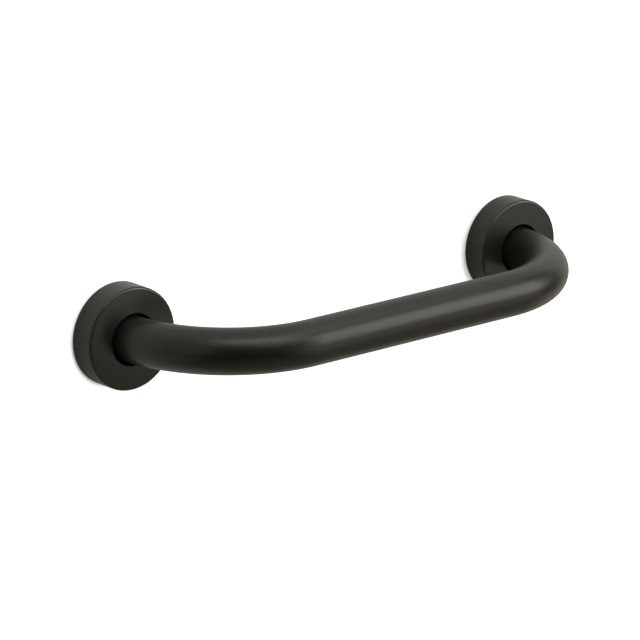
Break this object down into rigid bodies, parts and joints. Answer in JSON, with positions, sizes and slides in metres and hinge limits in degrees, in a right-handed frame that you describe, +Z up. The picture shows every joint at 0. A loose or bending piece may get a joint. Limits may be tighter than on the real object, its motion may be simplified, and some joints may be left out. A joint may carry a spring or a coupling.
{
  "type": "grab bar",
  "caption": "Wall-mounted grab bar: a round tube bent back at both ends, welded to screw flanges hidden under deep round covers, in a dark satin bronze finish.",
  "frame": {"origin": "on the wall plane, midway between the two legs", "axes": "+X along the grip, +Y into the wall, +Z up; the bar stands out to -Y"},
  "size_m": [0.427, 0.117, 0.072],
  "materials": {
    "bar_finish": "dark bronze-black satin coat on stainless tube",
    "cover_finish": "dark bronze-black satin coat on drawn stainless sheet",
    "flange_finish": "the same dark coat, thinner and duller, on plate steel"
  },
  "bodies": {
    "root": {"bar_tube": "bar_finish", "left_cover": "cover_finish", "right_cover": "cover_finish", "left_flange": "flange_finish", "right_flange": "flange_finish"}
  },
  "joints": []
}
